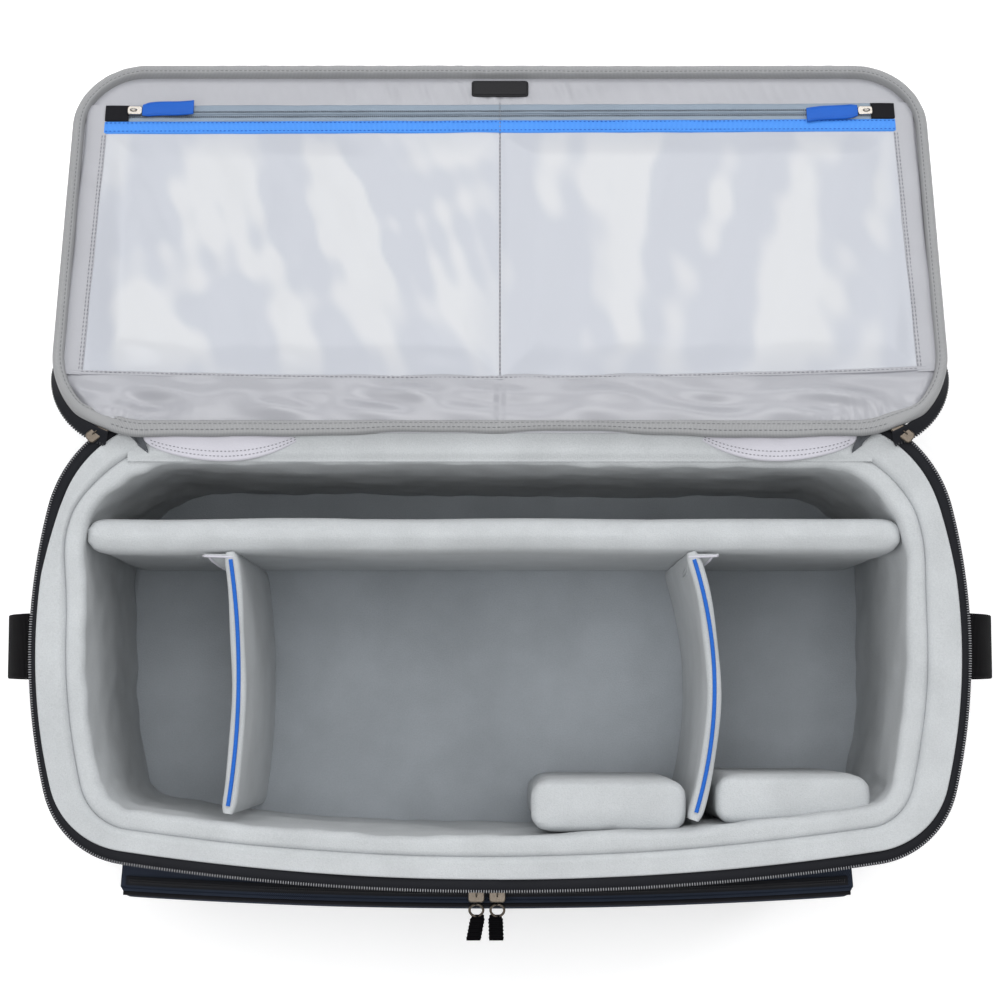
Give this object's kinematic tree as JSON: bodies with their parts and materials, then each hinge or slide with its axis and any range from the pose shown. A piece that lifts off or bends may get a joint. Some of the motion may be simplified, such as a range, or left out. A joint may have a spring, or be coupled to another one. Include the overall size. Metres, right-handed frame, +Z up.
{
  "type": "padded equipment case",
  "caption": "Padded soft-sided equipment case with a zip lid folded open, clear pocket in the lid, lift-out felt dividers and webbing side handles.",
  "frame": {"origin": "middle of the flat base, on the ground", "axes": "+X along the case's length, +Y from the front pocket to the hinge, +Z up"},
  "size_m": [0.781, 0.6958, 0.2974],
  "materials": {
    "navy_nylon": "woven, coated",
    "black_webbing": "woven webbing",
    "black_fabric": "woven",
    "felt": "brushed loop felt",
    "lining_nylon": "satin woven",
    "binding": "woven binding",
    "trim": "grosgrain",
    "pull_fabric": "coated fabric",
    "zip_tape": "zip tape",
    "zip_teeth": "moulded coil",
    "slider_metal": "antique plated",
    "clear_film": "clear flexible film",
    "board": "moulded sheet",
    "foam_core": "closed cell foam",
    "label_rubber": "matte"
  },
  "bodies": {
    "case": {"base_panel": "black_fabric", "base_stiffener": "board", "floor_pad": "felt", "base_piping": "black_fabric", "shell_front": "navy_nylon", "shell_back": "navy_nylon", "shell_left": "navy_nylon", "shell_right": "navy_nylon", "foam_front": "felt", "foam_back": "felt", "foam_left": "felt", "foam_right": "felt", "liner_front": "felt", "liner_back": "felt", "liner_left": "felt", "liner_right": "felt", "rim_zip_tape": "zip_tape", "rim_zip_teeth": "zip_teeth", "handle_left": "black_webbing", "handle_right": "black_webbing", "handle_patches": "black_webbing", "pocket_gusset": "navy_nylon", "pocket_zip_tape": "zip_tape", "pocket_zip_coil": "zip_teeth", "hinge_panel": "lining_nylon", "hinge_flaps": "lining_nylon"},
    "lid": {"lid_shell": "navy_nylon", "lid_foam": "foam_core", "lid_lining": "lining_nylon", "lid_binding": "binding", "lid_hinge_strip": "binding", "lid_zip_tape": "zip_tape", "lid_zip_teeth": "zip_teeth", "lid_window": "clear_film", "lid_window_frame": "lining_nylon", "lid_trim": "trim", "lid_pocket_tape": "zip_tape", "lid_pocket_coil": "zip_teeth", "lid_pocket_tabs": "black_fabric", "lid_label": "label_rubber", "lid_handle": "black_webbing"},
    "lid_zip_left": {"lid_slider_left": "slider_metal"},
    "lid_tag_left": {"lid_pull_left": "pull_fabric"},
    "lid_zip_right": {"lid_slider_right": "slider_metal"},
    "lid_tag_right": {"lid_pull_right": "pull_fabric"},
    "pocket_flap": {"pocket_panel": "navy_nylon"},
    "pocket_zip_left": {"pocket_slider_left": "slider_metal"},
    "pocket_tag_left": {"pocket_pull_left": "black_webbing"},
    "pocket_zip_right": {"pocket_slider_right": "slider_metal"},
    "pocket_tag_right": {"pocket_pull_right": "black_webbing"},
    "main_zip_left": {"main_slider_left": "slider_metal"},
    "main_tag_left": {"main_pull_left": "slider_metal"},
    "main_zip_right": {"main_slider_right": "slider_metal"},
    "main_tag_right": {"main_pull_right": "slider_metal"},
    "long_divider_pad": {"long_divider": "felt"},
    "divider_left_pad": {"divider_left": "felt"},
    "divider_right_pad": {"divider_right": "felt"},
    "block_left_pad": {"block_left": "felt"},
    "block_right_pad": {"block_right": "felt"}
  },
  "joints": [
    {"name": "lid_hinge", "type": "hinge", "parent": "case", "child": "lid", "pos_m": [0, 0.155, 0.291], "axis": [-1, 0, 0], "range_deg": [-199, 0]},
    {"name": "lid_slider_left_slide", "type": "slide", "parent": "lid", "child": "lid_zip_left", "axis": [1, 0, 0], "range_m": [0, 0.248]},
    {"name": "lid_pull_left_hinge", "type": "hinge", "parent": "lid_zip_left", "child": "lid_tag_left", "pos_m": [-0.2867, 0.43454, 0.20056], "axis": [0, -0.9455, 0.3256], "range_deg": [0, 85]},
    {"name": "lid_slider_right_slide", "type": "slide", "parent": "lid", "child": "lid_zip_right", "axis": [-1, 0, 0], "range_m": [0, 0.248]},
    {"name": "lid_pull_right_hinge", "type": "hinge", "parent": "lid_zip_right", "child": "lid_tag_right", "pos_m": [0.2867, 0.43454, 0.20056], "axis": [0, 0.9455, -0.3256], "range_deg": [0, 85]},
    {"name": "pocket_flap_hinge", "type": "hinge", "parent": "case", "child": "pocket_flap", "pos_m": [-0.01, -0.19, 0.026], "axis": [1, 0, 0], "range_deg": [0, 18]},
    {"name": "pocket_slider_left_travel", "type": "hinge", "parent": "case", "child": "pocket_zip_left", "pos_m": [-0.01, 4.002, 0.2416], "axis": [0, 0, -1], "range_deg": [0, 3.4]},
    {"name": "pocket_pull_left_hinge", "type": "hinge", "parent": "pocket_zip_left", "child": "pocket_tag_left", "pos_m": [-0.018, -0.1901, 0.2456], "axis": [-1, 0, 0], "range_deg": [0, 85]},
    {"name": "pocket_slider_right_travel", "type": "hinge", "parent": "case", "child": "pocket_zip_right", "pos_m": [-0.01, 4.002, 0.2416], "axis": [0, 0, 1], "range_deg": [0, 3.4]},
    {"name": "pocket_pull_right_hinge", "type": "hinge", "parent": "pocket_zip_right", "child": "pocket_tag_right", "pos_m": [-0.002, -0.1901, 0.2456], "axis": [-1, 0, 0], "range_deg": [0, 85]},
    {"name": "main_slider_left_travel", "type": "hinge", "parent": "case", "child": "main_zip_left", "pos_m": [-0.24475, 0.083, 0.28], "axis": [0, 0, 1], "range_deg": [0, 38]},
    {"name": "main_pull_left_hinge", "type": "hinge", "parent": "main_zip_left", "child": "main_tag_left", "pos_m": [-0.31074, 0.16748, 0.28], "axis": [0.788, 0.6157, 0], "range_deg": [0, 18]},
    {"name": "main_slider_right_travel", "type": "hinge", "parent": "case", "child": "main_zip_right", "pos_m": [0.24475, 0.083, 0.28], "axis": [0, 0, -1], "range_deg": [0, 38]},
    {"name": "main_pull_right_hinge", "type": "hinge", "parent": "main_zip_right", "child": "main_tag_right", "pos_m": [0.31074, 0.16748, 0.28], "axis": [0.788, -0.6157, 0], "range_deg": [0, 18]},
    {"name": "long_divider_lift", "type": "slide", "parent": "case", "child": "long_divider_pad", "axis": [0, 0, 1], "range_m": [0, 0.262]},
    {"name": "divider_left_lift", "type": "slide", "parent": "case", "child": "divider_left_pad", "axis": [0, 0, 1], "range_m": [0, 0.262]},
    {"name": "divider_right_lift", "type": "slide", "parent": "case", "child": "divider_right_pad", "axis": [0, 0, 1], "range_m": [0, 0.262]},
    {"name": "block_left_lift", "type": "slide", "parent": "case", "child": "block_left_pad", "axis": [0, 0, 1], "range_m": [0, 0.262]},
    {"name": "block_right_lift", "type": "slide", "parent": "case", "child": "block_right_pad", "axis": [0, 0, 1], "range_m": [0, 0.262]}
  ]
}
